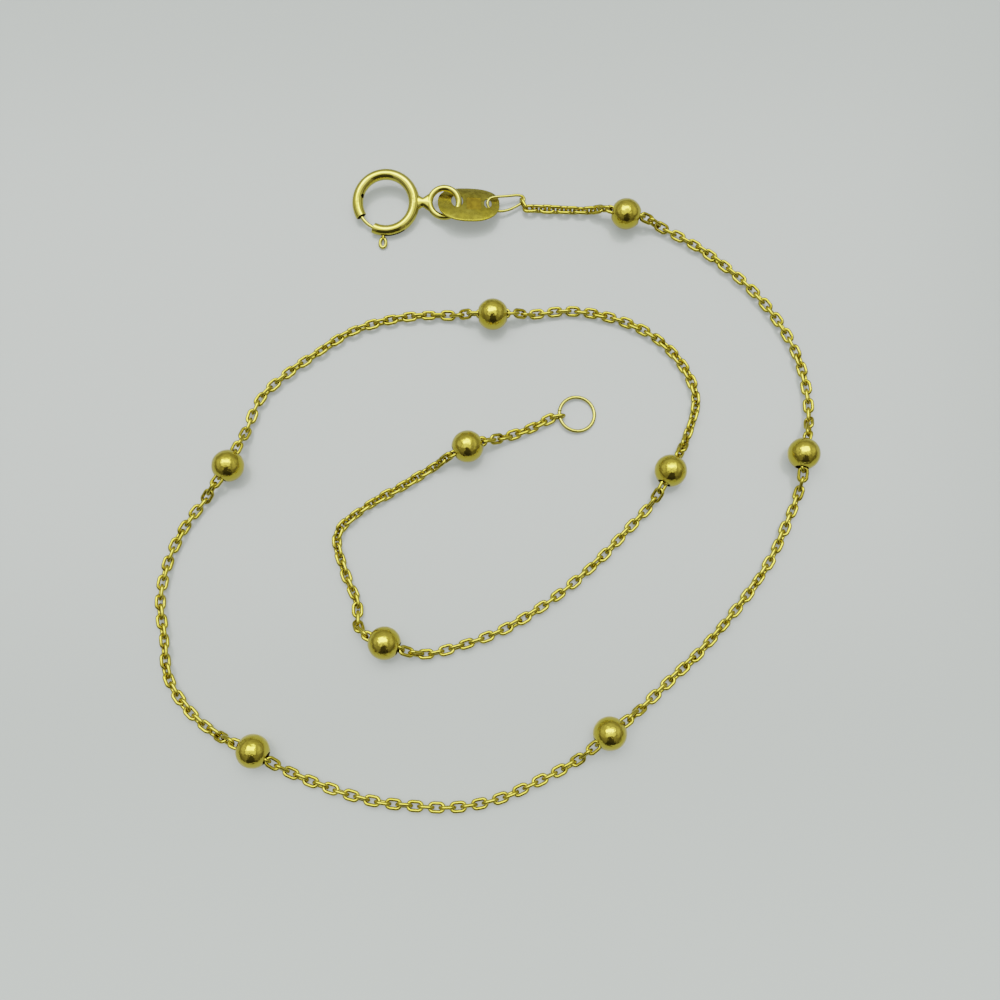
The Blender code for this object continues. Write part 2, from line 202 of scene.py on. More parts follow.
# The chain's route, in millimetres from the middle of the layout
BEAD_PLACES = (
    (11.33, 22.33),
    (25.0, 1.4),
    (9.0, -20.5),
    (-17.9, -21.8),
    (-21.0, 0.4),
    (0.1, 13.3),
    (14.3, 0.0),
    (-8.2, -13.7),
    (-1.9, 2.0),
)
STRETCHES = (
    ((3.5, 23.27), (4.4, 23.2), (6.7, 23.1), (9.2, 22.95)),
    (
        (13.6, 21.8), (16.9, 20.0), (19.4, 18.1), (21.6, 16.0),
        (23.5, 13.5), (24.9, 10.8), (25.7, 7.8), (25.8, 4.5),
    ),
    (
        (24.7, -1.3), (23.5, -4.2), (22.1, -7.0), (20.3, -9.6),
        (18.3, -12.0), (16.2, -14.3), (13.9, -16.4), (11.3, -18.8),
    ),
    (
        (6.5, -22.5), (3.6, -24.0), (0.6, -25.3), (-2.6, -25.9),
        (-5.9, -25.8), (-9.1, -25.4), (-12.2, -24.5), (-15.3, -23.3),
    ),
    (
        (-20.8, -20.6), (-23.2, -18.7), (-24.9, -16.2), (-25.4, -13.2),
        (-25.9, -10.3), (-25.5, -7.3), (-24.4, -4.5), (-22.7, -2.0),
    ),
    (
        (-19.9, 3.4), (-18.9, 6.2), (-16.8, 8.4), (-14.4, 10.2),
        (-11.8, 12.0), (-9.0, 13.0), (-6.0, 13.5), (-3.0, 13.5),
    ),
    ((3.4, 13.6), (6.7, 13.9), (10.0, 13.3), (13.1, 11.9), (15.5, 9.5), (16.7, 6.4), (15.9, 3.2)),
    (
        (12.9, -2.4), (10.7, -4.8), (8.5, -7.1), (6.1, -9.2),
        (3.5, -11.1), (0.7, -12.7), (-2.3, -13.8), (-5.4, -14.5),
    ),
    (
        (-10.2, -12.6), (-10.5, -10.4), (-11.5, -8.1), (-12.2, -5.0),
        (-10.0, -2.8), (-7.3, -1.2), (-4.6, 0.5),
    ),
    ((0.6, 2.8), (3.1, 3.7), (4.6, 4.5)),
)
SPAN_SAMPLES = 12

# How each stretch of chain is turned about its own line, at its start, middle and end
STRETCH_ROLLS_DEG = (
    (-17, -20, 0),
    (5, 25, 40),
    (20, 35, 15),
    (5, 0, 10),
    (25, 45, 10),
    (20, -20, 15),
    (10, 40, 45),
    (25, 10, 20),
    (15, 45, 45),
    (10, 30, 20),
)
ROLL_JITTER_DEG = 15

# How far apart the links of each stretch are, as a share of a taut chain's spacing
STRETCH_SPACINGS = (0.88, 0.97, 0.96, 1.0, 0.95, 0.98, 0.93, 1.0, 0.88, 0.95)
SEED = 11

# Camera
CAMERA_PLACE = Vector((0.0007, -0.0220, 0.086158))
CAMERA_TILT_DEG = 13
CAMERA_LENS = 39.6
CAMERA_SENSOR = 36
CAMERA_NEAR = 0.001
CAMERA_FAR = 10

# Gold finishes. Wear is the strength of the scratches, dents is the depth of the dents in millimetres, and
# grain is how the scratches are drawn out along each axis
Finish = namedtuple("Finish", "light dark roughness wear dents grain")
FINISHES = {
    "clasp_polish": Finish((0.62, 0.54, 0.125), (0.42, 0.35, 0.025), 0.06, 0.4, 0.008, (1, 1, 9)),
    "wire_polish": Finish((0.50, 0.44, 0.110), (0.32, 0.27, 0.025), 0.09, 0.4, 0.006, (1, 1, 1)),
    "tag_satin": Finish((0.34, 0.29, 0.045), (0.29, 0.23, 0.012), 0.28, 0.12, 0.0015, (1, 12, 1)),
    # Tag recess: painted shade, darker and browner than the satin, for the shade and deeper reflection in
    # the recess
    "tag_recess_painted_shade": Finish((0.36, 0.255, 0.026), (0.26, 0.18, 0.012), 0.4, 0.3, 0.004, (1, 1, 1)),
    # Tube inside: painted shade, nearly black, for the shade inside the tube and its pin hole
    "tube_inside_painted_shade": Finish((0.10, 0.07, 0.02), (0.04, 0.028, 0.01), 0.5, 0.3, 0.004, (1, 1, 1)),
    "chain_polish": Finish((0.52, 0.43, 0.065), (0.33, 0.265, 0.012), 0.13, 0.3, 0.010, (1, 1, 1)),
    "bead_polish": Finish((0.56, 0.45, 0.070), (0.46, 0.36, 0.030), 0.06, 0.3, 0.045, (1, 1, 1)),
    # Bead bore: painted shade, nearly black, for the shade in the hole
    "bead_bore_painted_shade": Finish((0.10, 0.07, 0.02), (0.04, 0.028, 0.01), 0.5, 0.3, 0.004, (1, 1, 1)),
}

# Noise textures, as scale and detail
PATCH_NOISE = (900, 3)
POLISH_NOISE = (2600, 5)
DENT_NOISE = (2600, 3)
SCRATCH_NOISE = (9000, 4)
CLOUD_NOISE = (12, 2)
POLISH_FROM = (0.3, 0.7)
POLISH_TO = (0.6, 1.5)
SCRATCH_DEPTH = 0.0006 * MM

# Floor
FLOOR_HALF_WIDTH = 2.0
FLOOR_COLOUR = (0.245, 0.266, 0.249)
FLOOR_CLOUD = 0.96
FLOOR_ROUGHNESS = 0.20
FLOOR_SPECULAR = 0.3
# Painted light: the floor glows faintly to lighten its shadows, more near the front
FLOOR_GLOW = 0.25
FLOOR_NEAR_GLOW = 0.14
FLOOR_NEAR_SPAN = (-0.045, -0.005)

# Room light. Across, away and sideways are measured on a ceiling at height 1, each as a low end, a high end
# and how soft both are. The others are the two ends of a ramp, and levels are the light at those ends
ROOM_LIGHT = 1.6
LOWEST_HEIGHT = 0.05
WALL_HEIGHTS = (0.0, 0.85)
WALL_LEVELS = (0.175, 0.60)
VIEWER_SIDE = (-0.40, 0.30)
VIEWER_SIDE_LEVELS = (0.42, 1.0)
GLOW_ACROSS = (-0.75, 0.50, 0.14)
GLOW_AWAY = (-0.42, 0.88, 0.09)
GLOW_LEVEL = 0.9
WINDOW_ACROSS = (-0.66, 0.46, 0.07)
WINDOW_AWAY = (0.10, 0.66, 0.08)
WINDOW_LEVEL = 3.6
FRAME_SIDEWAYS = (0.72, 1.02, 0.08)
FRAME_HEIGHTS = (0.35, 0.70)
FRAME_SHADE = -0.25
SIDE_PANEL_SIDEWAYS = (1.15, 2.1, 0.15)
SIDE_PANEL_AWAY = (-0.7, 1.0, 0.3)
SIDE_PANEL_LEVEL = 0.18
LEAST_TOWARD = 0.001
FIGURE_BEARINGS = (0.45, 0.62)
FIGURE_TOWARD = (0.08, 0.50)
FIGURE_HEIGHTS = (0.03, 0.22)
FIGURE_SHADE = 0.82


def add_object(name, mesh, material):
    obj = bpy.data.objects.new(name, mesh)
    bpy.context.scene.collection.objects.link(obj)
    mesh.materials.append(material)
    return obj


def smooth(mesh, sharp_deg):
    mesh.shade_smooth()
    mesh.set_sharp_from_angle(angle=math.radians(sharp_deg))


def mesh_from(name, points, faces):
    mesh = bpy.data.meshes.new(name)
    mesh.from_pydata(points, [], faces)
    mesh.validate()
    shape = bmesh.new()
    shape.from_mesh(mesh)
    bmesh.ops.recalc_face_normals(shape, faces=shape.faces)
    shape.to_mesh(mesh)
    shape.free()
    smooth(mesh, SHARP_DEG)
    return mesh


def finish_piece(obj, body, slot, *nodes):
    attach(obj, body)
    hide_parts(*nodes)


def arc(radius, start_deg, end_deg, count):
    """Points along an arc in the XY plane, both ends included."""
    angles = [math.radians(start_deg + (end_deg - start_deg) * i / (count - 1)) for i in range(count)]
    return [Vector((radius * math.cos(a), radius * math.sin(a), 0)) for a in angles]


def circle(radius, count):
    return arc(radius, 0, 360 - 360 / count, count)


def oval(length, width, arc_points, side_points):
    """An oval with straight sides and round ends, long in X."""
    radius = width / 2
    half = Vector((length / 2 - radius, 0, 0))
    right = [point + half for point in arc(radius, -90, 90, arc_points)]
    left = [point - half for point in arc(radius, 90, 270, arc_points)]
    top = [right[-1].lerp(left[0], i / (side_points + 1)) for i in range(1, side_points + 1)]
    bottom = [left[-1].lerp(right[0], i / (side_points + 1)) for i in range(1, side_points + 1)]
    return right + top + left + bottom


def grid_faces(rows, columns, rows_closed, columns_closed):
    """Quads between the rows of a grid of points."""
    faces = []
    for i in range(rows if rows_closed else rows - 1):
        for j in range(columns if columns_closed else columns - 1):
            here = i * columns
            there = (i + 1) % rows * columns
            following = (j + 1) % columns
            faces.append((here + j, here + following, there + following, there + j))
    return faces


def flat_tube(path, radii, sides, closed):
    """Round wire along a path in the XY plane. It returns points and faces, with closed ends."""
    points = []
    for i, place in enumerate(path):
        before = path[i - 1] if closed or i > 0 else path[0]
        after = path[(i + 1) % len(path)] if closed or i < len(path) - 1 else path[-1]
        tangent = (after - before).normalized()
        outward = Vector((tangent.y, -tangent.x, 0))
        for j in range(sides):
            angle = 2 * math.pi * j / sides
            points.append(place + (outward * math.cos(angle) + Vector((0, 0, math.sin(angle)))) * radii[i])
    faces = grid_faces(len(path), sides, closed, True)
    if not closed:
        faces.append(tuple(reversed(range(sides))))
        faces.append(tuple(range(len(points) - sides, len(points))))
    return points, faces


def combined(obj, others, operation):
    """Joins the other solids to obj, or cuts them out of it, for good."""
    for other in others:
        modifier = obj.modifiers.new(other.name, "BOOLEAN")
        modifier.operation = operation
        modifier.object = other
    bpy.context.view_layer.update()
    graph = bpy.context.evaluated_depsgraph_get()
    mesh = bpy.data.meshes.new_from_object(obj.evaluated_get(graph))
    obj.modifiers.clear()
    obj.data = mesh
    smooth(mesh, SHARP_DEG)
    for other in others:
        bpy.data.objects.remove(other, do_unlink=True)
    return obj


def united(obj, others):
    return combined(obj, others, "UNION")


def ring_angles():
    """The angles of the clasp's rows, with rows exactly at the ends of the slot."""
    first = MOUTH_END_DEG + MOUTH_BEVEL_DEG
    last = MOUTH_START_DEG + 360 - MOUTH_BEVEL_DEG
    steps = (
        (MOUTH_END_DEG, first, 1),
        (first, SLOT_START_DEG, ROWS_TO_SLOT),
        (SLOT_START_DEG, SLOT_END_DEG, SLOT_ROWS),
        (SLOT_END_DEG, last, ROWS_FROM_SLOT),
        (last, MOUTH_START_DEG + 360, 1),
    )
    angles = [MOUTH_END_DEG]
    for start, end, count in steps:
        angles += [start + (end - start) * i / count for i in range(1, count + 1)]
    return angles


def section_angles(radius):
    """Angles round the tube, with columns at the slot's two sides. The slot is across the outside."""
    half = math.asin(SLOT_WIDTH / 2 / radius)
    slot_columns = [half * (2 * i / SLOT_COLUMNS - 1) for i in range(SLOT_COLUMNS + 1)]
    rest = 2 * math.pi - 2 * half
    return slot_columns + [half + rest * i / COLUMNS_FROM_SLOT for i in range(1, COLUMNS_FROM_SLOT)]


def clasp_surface(radius, edge_cut, flare):
    """Points of one surface of the tube, at the mouth smaller by the cut and wider by the flare."""
    points = []
    angles = ring_angles()
    for row, angle_deg in enumerate(angles):
        size = radius - (edge_cut if row in (0, len(angles) - 1) else 0)
        to_mouth = min(angle_deg - angles[0], angles[-1] - angle_deg) / MOUTH_FLARE_DEG
        size += flare * max(1 - to_mouth, 0) ** 2
        angle = math.radians(angle_deg)
        outward = Vector((math.cos(angle), math.sin(angle), 0))
        for around in section_angles(radius):
            height = Vector((0, 0, size * math.sin(around)))
            points.append(outward * (RING_RADIUS + size * math.cos(around)) + height)
    return points


def clasp_tube():
    """The hollow ring, open at its mouth and at the slot."""
    angles = ring_angles()
    columns = len(section_angles(RING_TUBE / 2))
    rows = len(angles)
    outer = clasp_surface(RING_TUBE / 2, MOUTH_BEVEL, 0)
    inner = clasp_surface(RING_BORE / 2, 0, MOUTH_FLARE)
    first_row = angles.index(SLOT_START_DEG)
    last_row = angles.index(SLOT_END_DEG)
    faces = []
    shift = len(outer)
    for i in range(rows - 1):
        for j in range(columns):
            if first_row <= i < last_row and j < SLOT_COLUMNS:
                continue
            following = (j + 1) % columns
            here, there = i * columns, (i + 1) * columns
            faces.append((here + j, here + following, there + following, there + j))
            inside = (here + j, there + j, there + following, here + following)
            faces.append(tuple(shift + index for index in inside))
    for row in (0, rows - 1):
        for j in range(columns):
            a = row * columns + j
            b = row * columns + (j + 1) % columns
            faces.append((a, b, shift + b, shift + a))
    for i in range(first_row, last_row):
        for j in (0, SLOT_COLUMNS):
            a = i * columns + j
            b = (i + 1) * columns + j
            faces.append((a, b, shift + b, shift + a))
    for j in range(SLOT_COLUMNS):
        for row in (first_row, last_row):
            a = row * columns + j
            faces.append((a, a + 1, shift + a + 1, shift + a))
    return mesh_from("clasp_tube", outer + inner, faces)


def neck_mesh():
    """The solder joint between the ring and its eye: waisted, and wide where it meets them."""
    points = []
    for i in range(NECK_ROWS):
        x = NECK_START + (NECK_END - NECK_START) * i / (NECK_ROWS - 1)
        away = (x - NECK_WAIST) / (NECK_END - NECK_WAIST)
        half_width = NECK_DIAMETER / 2 + NECK_FLARE * abs(away) ** NECK_FLARE_CURVE
        half_height = NECK_HALF_HEIGHT - NECK_LOWERING * away * abs(away)
        for j in range(NECK_COLUMNS):
            angle = 2 * math.pi * j / NECK_COLUMNS
            points.append(Vector((x, half_width * math.cos(angle), half_height * math.sin(angle))))
    faces = grid_faces(NECK_ROWS, NECK_COLUMNS, False, True)
    faces.append(tuple(reversed(range(NECK_COLUMNS))))
    faces.append(tuple(range(len(points) - NECK_COLUMNS, len(points))))
    return mesh_from("neck", points, faces)


def paint_shade_inside(ring, material):
    """The inside of the tube is unpolished, and painted nearly black as the shade within it."""
    ring.data.materials.append(material)
    for face in ring.data.polygons:
        angle = math.atan2(face.center.y, face.center.x)
        middle = Vector((RING_RADIUS * math.cos(angle), RING_RADIUS * math.sin(angle), 0))
        outward = (face.center - middle).normalized()
        if face.normal.dot(outward) < FACES_INWARD:
            face.material_index = 1


def spring_ring(material, inside):
    ring = add_object("spring_ring_polished", clasp_tube(), material)
    paint_shade_inside(ring, inside)
    eye_path = moved(circle((EYE_DIAMETER - EYE_WIRE) / 2, EYE_POINTS), EYE_DISTANCE, 0)
    eye_shape = flat_tube(eye_path, [EYE_WIRE / 2] * EYE_POINTS, EYE_SIDES, True)
    eye = add_object("eye", mesh_from("eye", *eye_shape), material)
    neck = add_object("neck", neck_mesh(), material)
    united(ring, [neck, eye])
    drill_pin_hole(ring)
    return placed(ring, CLASP_PLACE, CLASP_TILT_DEG)


def drill_pin_hole(ring):
    """The small hole of the stop pin, through the inner wall of the tube."""
    path = [Vector((-RING_TUBE * share, 0, 0)) for share in PIN_HOLE_REACH]
    shape = flat_tube(path, [PIN_HOLE_DIAMETER / 2] * 2, PIN_HOLE_SIDES, False)
    # The drill carries the dark painted shade onto the pin hole's wall
    drill = add_object("pin_drill", mesh_from("pin_drill", *shape), ring.data.materials[1])
    drill.data.transform(Matrix.Rotation(math.radians(PIN_HOLE_RISE_DEG), 4, "Y"))
    drill.data.transform(Matrix.Translation((RING_RADIUS, 0, 0)))
    drill.data.transform(Matrix.Rotation(math.radians(PIN_HOLE_DEG), 4, "Z"))
    combined(ring, [drill], "DIFFERENCE")


def placed(obj, place, roll_deg=0, pitch_deg=0, yaw_deg=0):
    """Turns a piece's mesh and moves it to its place."""
    turn = Euler([math.radians(deg) for deg in (roll_deg, pitch_deg, yaw_deg)]).to_matrix().to_4x4()
    obj.data.transform(Matrix.Translation(place) @ turn)
    return obj


def round_ended(radius, count, ends):
    """Radii along an open wire whose last points close in to a round end."""
    radii = []
    for i in range(count):
        share = min((min(i, count - 1 - i) + TONGUE_TIP) / ends, 1)
        radii.append(radius * math.sqrt(1 - (1 - share) ** 2))
    return radii


def trigger(material):
    """The tongue in the mouth, with the stem and the loop that the thumb pulls."""
    tongue_path = arc(RING_RADIUS, TONGUE_START_DEG, TONGUE_END_DEG, TONGUE_POINTS)
    tongue_radii = round_ended(TONGUE_WIRE / 2, TONGUE_POINTS, TONGUE_END_POINTS)
    tongue_shape = flat_tube(tongue_path, tongue_radii, TRIGGER_SIDES, False)
    tongue = add_object("trigger_polished", mesh_from("tongue", *tongue_shape), material)
    turn = Matrix.Rotation(math.radians(THUMB_DEG), 4, "Z")
    half_length = (THUMB_LENGTH - THUMB_WIRE) / 2
    half_width = (THUMB_WIDTH - THUMB_WIRE) / 2
    loop_path = [
        Vector((
            THUMB_DISTANCE + point.x * half_length,
            point.y * half_width * (1 + THUMB_NARROWING * (point.x - 1) / 2),
            0,
        ))
        for point in circle(1, THUMB_POINTS)
    ]
    thumb_shape = flat_tube(loop_path, [THUMB_WIRE / 2] * THUMB_POINTS, TRIGGER_SIDES, True)
    thumb = add_object("thumb", mesh_from("thumb", *thumb_shape), material)
    thumb.data.transform(turn)
    stem_end = THUMB_DISTANCE - THUMB_LENGTH / 2 + THUMB_WIRE * STEM_BITE
    shares = [i / STEM_STEPS for i in range(STEM_STEPS + 1)]
    stem_path = [Vector((RING_RADIUS + (stem_end - RING_RADIUS) * share, 0, 0)) for share in shares]
    stem_radii = [STEM_WIRE / 2 + STEM_SPREAD * share**3 for share in shares]
    stem_shape = flat_tube(stem_path, stem_radii, STEM_SIDES, False)
    stem = add_object("stem", mesh_from("stem", *stem_shape), material)
    stem.data.transform(turn)
    return placed(united(tongue, [stem, thumb]), CLASP_PLACE, CLASP_TILT_DEG)


def moved(outline, x, y):
    return [point + Vector((x, y, 0)) for point in outline]


def rounded_panel(length, width, corner):
    """A rectangle with round corners."""
    outline = []
    for start_deg, side_x, side_y in ((0, 1, 1), (90, -1, 1), (180, -1, -1), (270, 1, -1)):
        corner_points = arc(corner, start_deg, start_deg + 90, PANEL_CORNER_POINTS)
        outline += moved(corner_points, side_x * (length / 2 - corner), side_y * (width / 2 - corner))
    return outline


def blunt_oval(length, width, bluntness, count):
    """An ellipse whose ends and sides are flatter the more its bluntness is above 2."""
    outline = []
    for point in circle(1, count):
        x = math.copysign(abs(point.x) ** (2 / bluntness), point.x)
        y = math.copysign(abs(point.y) ** (2 / bluntness), point.y)
        outline.append(Vector((length / 2 * x, width / 2 * y, 0)))
    return outline


def plate(name, outlines, thickness, edge, material):
    """A flat plate between its outlines, with round edges. An outline inside another is a hole."""
    curve = bpy.data.curves.new(name, "CURVE")
    curve.dimensions = "2D"
    curve.fill_mode = "BOTH"
    curve.extrude = thickness / 2 - edge
    curve.bevel_depth = edge
    curve.bevel_resolution = TAG_EDGE_STEPS
    curve.offset = -edge
    for outline in outlines:
        spline = curve.splines.new("POLY")
        spline.points.add(len(outline) - 1)
        for point, place in zip(spline.points, outline):
            point.co = (*place, 1)
        spline.use_cyclic_u = True
    source = bpy.data.objects.new(name + "_curve", curve)
    bpy.context.scene.collection.objects.link(source)
    bpy.context.view_layer.update()
    graph = bpy.context.evaluated_depsgraph_get()
    mesh = bpy.data.meshes.new_from_object(source.evaluated_get(graph))
    bpy.data.objects.remove(source, do_unlink=True)
    shape = bmesh.new()
    shape.from_mesh(mesh)
    bmesh.ops.remove_doubles(shape, verts=shape.verts, dist=WELD_DISTANCE)
    bmesh.ops.recalc_face_normals(shape, faces=shape.faces)
    shape.to_mesh(mesh)
    shape.free()
    return add_object(name, mesh, material)


def oval_tag(material, recess_shade_material):
    """The plate with its two holes, a shallow bare panel between them whose floor is painted darker and
    browner as shade, and a light crown across it.
    """
    rim = blunt_oval(TAG_LENGTH, TAG_WIDTH, TAG_BLUNTNESS, TAG_POINTS)
    eye_oval = blunt_oval(EYE_HOLE_LENGTH, EYE_HOLE_WIDTH, HOLE_BLUNTNESS, EYE_HOLE_POINTS)
    loop_oval = blunt_oval(LOOP_HOLE_LENGTH, LOOP_HOLE_WIDTH, HOLE_BLUNTNESS, LOOP_HOLE_POINTS)
    eye_hole = moved(eye_oval, EYE_HOLE_X, EYE_HOLE_Y)
    loop_hole = moved(loop_oval, LOOP_HOLE_X, LOOP_HOLE_Y)
    tag = plate("oval_tag_satin", [rim, eye_hole, loop_hole], TAG_THICKNESS, TAG_EDGE, material)
    tag.data.materials.append(recess_shade_material)
    panel_outline = moved(rounded_panel(PANEL_LENGTH, PANEL_WIDTH, PANEL_CORNER), PANEL_X, PANEL_Y)
    # The cutter's dark painted shade goes onto the floor of the recess
    panel = plate("panel", [panel_outline], TAG_THICKNESS, PANEL_DEPTH / 2, recess_shade_material)
    panel.data.transform(Matrix.Translation((0, 0, TAG_THICKNESS - PANEL_DEPTH)))
    combined(tag, [panel], "DIFFERENCE")
    shape = bmesh.new()
    shape.from_mesh(tag.data)
    bmesh.ops.triangulate(shape, faces=shape.faces)
    long_edges = [edge for edge in shape.edges if edge.calc_length() > TAG_FACET]
    bmesh.ops.subdivide_edges(shape, edges=long_edges, cuts=TAG_FACET_CUTS, use_grid_fill=True)
    for vert in shape.verts:
        vert.co.z -= TAG_CROWN * abs(vert.co.y / (TAG_WIDTH / 2)) ** TAG_CROWN_CURVE
    bmesh.ops.recalc_face_normals(shape, faces=shape.faces)
    shape.to_mesh(tag.data)
    shape.free()
    smooth(tag.data, TAG_SHARP_DEG)
    return placed(tag, TAG_PLACE, TAG_ROLL_DEG, TAG_PITCH_DEG)


def end_loop(material):
    corners = [Vector((*place, 0)) * MM for place in LOOP_POINTS]
    round_again = [corners[-1], *corners, corners[0], corners[1]]
    path = []
    for i in range(1, len(corners) + 1):
        path += smooth_span(round_again, i, LOOP_SAMPLES)
    shape = flat_tube(path, [LOOP_WIRE / 2] * len(path), LOOP_SIDES, True)
    loop = add_object("end_loop_wire", mesh_from("end_loop_wire", *shape), material)
    return placed(loop, LOOP_PLACE, LOOP_ROLL_DEG, LOOP_PITCH_DEG, LOOP_YAW_DEG)


def end_ring(material):
    """The jump ring, with a low solder bead and the fine line of the cut in it."""
    path = circle((END_RING_DIAMETER - END_RING_WIRE) / 2, END_RING_POINTS)
    radii = []
    for i in range(END_RING_POINTS):
        away = abs(360 * i / END_RING_POINTS - SOLDER_DEG)
        lump = SOLDER_LUMP * math.exp(-((away / SOLDER_LUMP_DEG) ** 2))
        groove = SOLDER_GROOVE * math.exp(-((away / SOLDER_GROOVE_DEG) ** 2))
        radii.append(END_RING_WIRE / 2 + lump - groove)
    shape = flat_tube(path, radii, END_RING_SIDES, True)
    ring = add_object("end_ring_wire", mesh_from("end_ring_wire", *shape), material)
    return placed(ring, END_RING_PLACE, 0, END_RING_TILT_DEG)


def link_shape():
    """One link of round wire lying flat at the origin, long in X."""
    path = oval(LINK_LENGTH - LINK_WIRE, LINK_WIDTH - LINK_WIRE, LINK_ARC_POINTS, LINK_SIDE_POINTS)
    return flat_tube(path, [LINK_WIRE / 2] * len(path), LINK_SIDES, True)


def link_matrix(start, end, roll):
    """Places a link between its two joints. Roll turns it about the line between them."""
    along = (end - start).normalized()
    up = (Vector((0, 0, 1)) - along * along.z).normalized()
    sideways = up.cross(along)
    turned = sideways * math.cos(roll) + up * math.sin(roll)
    normal = along.cross(turned)
    axes = Matrix((along, turned, normal)).transposed()
    return Matrix.Translation((start + end) / 2) @ axes.to_4x4()


def links_mesh(name, places):
    """One mesh of whole links, each at its own matrix."""
    template, template_faces = link_shape()
    points = []
    faces = []
    for matrix in places:
        first = len(points)
        points += [matrix @ point for point in template]
        faces += [tuple(first + index for index in face) for face in template_faces]
    return mesh_from(name, points, faces)


def chain_route():
    """The chain's control points from end to end, and the index of each bead's centre among them."""
    points = []
    beads = []
    for number, stretch in enumerate(STRETCHES):
        points += [Vector((*place, 0)) * MM for place in stretch]
        if number < len(BEAD_PLACES):
            beads.append(len(points))
            points.append(Vector((*BEAD_PLACES[number], 0)) * MM)
    return points, beads


def smooth_span(points, start, count=SPAN_SAMPLES):
    """Samples of the Catmull-Rom curve from one control point to the next."""
    before = points[max(start - 1, 0)]
    first = points[start]
    second = points[start + 1]
    after = points[min(start + 2, len(points) - 1)]
    samples = []
    for i in range(count):
        t = i / count
        leave = (second - before) * (t - 2 * t * t + t**3) / 2
        arrive = (after - first) * (t**3 - t * t) / 2
        share = 3 * t * t - 2 * t**3
        samples.append(first * (1 - share) + second * share + leave + arrive)
    return samples


def distances(samples):
    """The distance along the samples at each of them."""
    along = [0.0]
    for first, second in zip(samples, samples[1:]):
        along.append(along[-1] + (second - first).length)
    return along


def point_at(samples, along, distance):
    for i in range(1, len(samples)):
        if along[i] >= distance or i == len(samples) - 1:
            share = (distance - along[i - 1]) / (along[i] - along[i - 1])
            return samples[i - 1].lerp(samples[i], share)


def chain_height(to_bead):
    """The chain lies on the surface, and rises to the hole near a bead."""
    share = min(max((to_bead - DROP_START) / (DROP_END - DROP_START), 0), 1)
    share = share * share * (3 - 2 * share)
    return BEAD_Z + (CHAIN_Z - BEAD_Z) * share


def edge_link_ends(place, yaw_deg):
    """The two joints of a link that lies on edge at the height of the chain."""
    yaw = math.radians(yaw_deg)
    half = Vector((math.cos(yaw), math.sin(yaw), 0)) * LINK_REACH / 2
    return place - half, place + half


def last_link_place():
    angle = math.radians(LAST_LINK_DEG)
    reach = (END_RING_DIAMETER - END_RING_WIRE) / 2 + LAST_LINK_SEAT
    x = END_RING_PLACE.x + reach * math.cos(angle)
    y = END_RING_PLACE.y + reach * math.sin(angle)
    return Vector((x, y, CHAIN_Z))


def roll_at(stretch, share):
    """The chain's turn, in degrees, at a share of the way along a stretch."""
    start, middle, end = STRETCH_ROLLS_DEG[stretch]
    if share < 0.5:
        return start + (middle - start) * share * 2
    return middle + (end - middle) * (share * 2 - 1)


def joint_marks(total, bead_along):
    """Distances of the links' joints along the chain. The last is exactly at the chain's end."""
    marks = [0.0]
    while marks[-1] < total:
        stretch = sum(marks[-1] > bead for bead in bead_along)
        marks.append(marks[-1] + (LINK_REACH - CHAIN_SLACK) * STRETCH_SPACINGS[stretch])
    return [mark * total / marks[-1] for mark in marks]


def chain_links():
    """The matrices of the links of each stretch. The chain runs on through the beads."""
    control, beads = chain_route()
    first_joint = edge_link_ends(FIRST_LINK_PLACE, FIRST_LINK_DEG)[1]
    last_joint = edge_link_ends(last_link_place(), LAST_LINK_DEG - 180)[0]
    samples = [Vector((first_joint.x, first_joint.y, 0))]
    bead_samples = []
    for span in range(len(control) - 1):
        if span in beads:
            bead_samples.append(len(samples))
        samples += smooth_span(control, span)
    samples += [control[-1], Vector((last_joint.x, last_joint.y, 0))]
    flat_along = distances(samples)
    bead_along = [flat_along[index] for index in bead_samples]
    route = []
    for place, distance in zip(samples, flat_along):
        to_bead = min(abs(distance - bead) for bead in bead_along)
        route.append(Vector((place.x, place.y, chain_height(to_bead))))
    along = distances(route)
    bead_along = [along[index] for index in bead_samples]
    marks = joint_marks(along[-1], bead_along)
    joints = [point_at(route, along, mark) for mark in marks]
    stretch_ends = [0, *bead_along, along[-1]]
    draws = random.Random(SEED)
    stretches = [[] for _ in STRETCHES]
    for k in range(len(marks) - 1):
        middle = (marks[k] + marks[k + 1]) / 2
        stretch = sum(middle > bead for bead in bead_along)
        start, end = stretch_ends[stretch], stretch_ends[stretch + 1]
        roll_deg = roll_at(stretch, (middle - start) / (end - start)) + 90 * (k % 2)
        roll_deg += draws.uniform(-ROLL_JITTER_DEG, ROLL_JITTER_DEG)
        stretches[stretch].append(link_matrix(joints[k], joints[k + 1], math.radians(roll_deg)))
    return stretches


def bead_profile():
    """The bead's section, once round, as distances along its axis and from it."""
    radius = BEAD_DIAMETER / 2
    hole = BEAD_HOLE / 2
    edge = math.asin((hole + BEAD_LIP) / radius)
    turns = [edge + (math.pi - 2 * edge) * i / BEAD_PROFILE_POINTS for i in range(BEAD_PROFILE_POINTS + 1)]
    face = [(radius * math.cos(turn), radius * math.sin(turn)) for turn in turns]
    shoulder = radius * math.cos(edge)
    lip = []
    for turn in [math.radians(deg) for deg in BEAD_LIP_DEGS]:
        x = shoulder - BEAD_LIP * (1 - math.cos(turn)) * BEAD_LIP_DEPTH
        lip.append((x, hole + BEAD_LIP * (1 - math.sin(turn))))
    bore = [(shoulder * (1 - 2 * i / BORE_STEPS) * BORE_LENGTH, hole) for i in range(1, BORE_STEPS)]
    return list(reversed(lip)) + face + [(-x, r) for x, r in lip] + [(-x, r) for x, r in bore]


